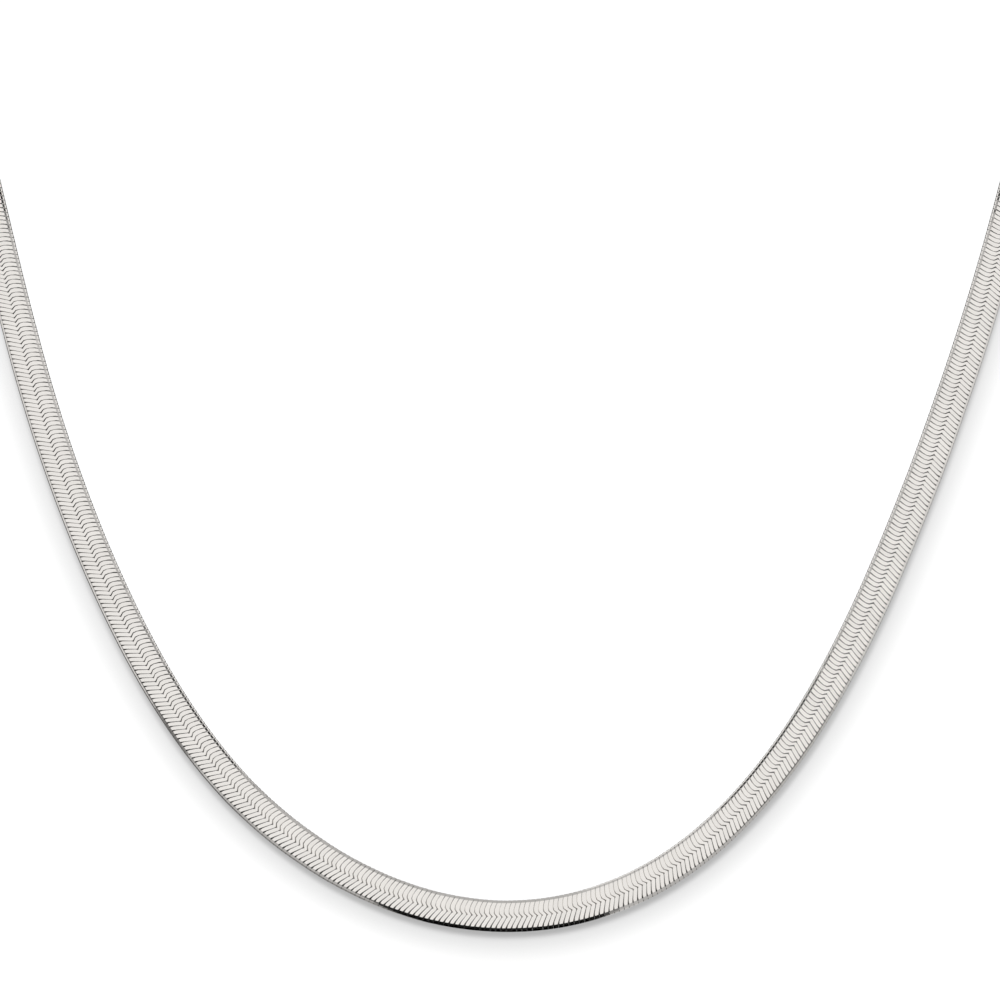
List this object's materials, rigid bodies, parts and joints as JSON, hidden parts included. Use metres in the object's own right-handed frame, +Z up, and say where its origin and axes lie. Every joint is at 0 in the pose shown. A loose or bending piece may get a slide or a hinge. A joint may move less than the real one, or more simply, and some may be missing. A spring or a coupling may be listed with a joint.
{
  "type": "herringbone chain necklace",
  "caption": "Flat herringbone chain necklace in polished silver, worn round a neck: a leaning U in front, closed at the nape by a hook clasp on end caps.",
  "frame": {"origin": "the nape: the middle of the loop's back, on the side of the clasp that rests on the neck", "axes": "+Z up, the hanging front faces -Y, +X is to the right of someone who looks at the front"},
  "size_m": [0.1475, 0.1401, 0.1094],
  "materials": {
    "chain_silver": "polished sterling silver links, pressed flat, with fine dark grooves between them",
    "cap_silver": "polished sterling silver",
    "clasp_silver": "polished sterling silver"
  },
  "bodies": {
    "root": {"herringbone_chain": "chain_silver", "end_cap_left": "cap_silver", "end_cap_right": "cap_silver", "clasp": "clasp_silver"}
  },
  "joints": []
}
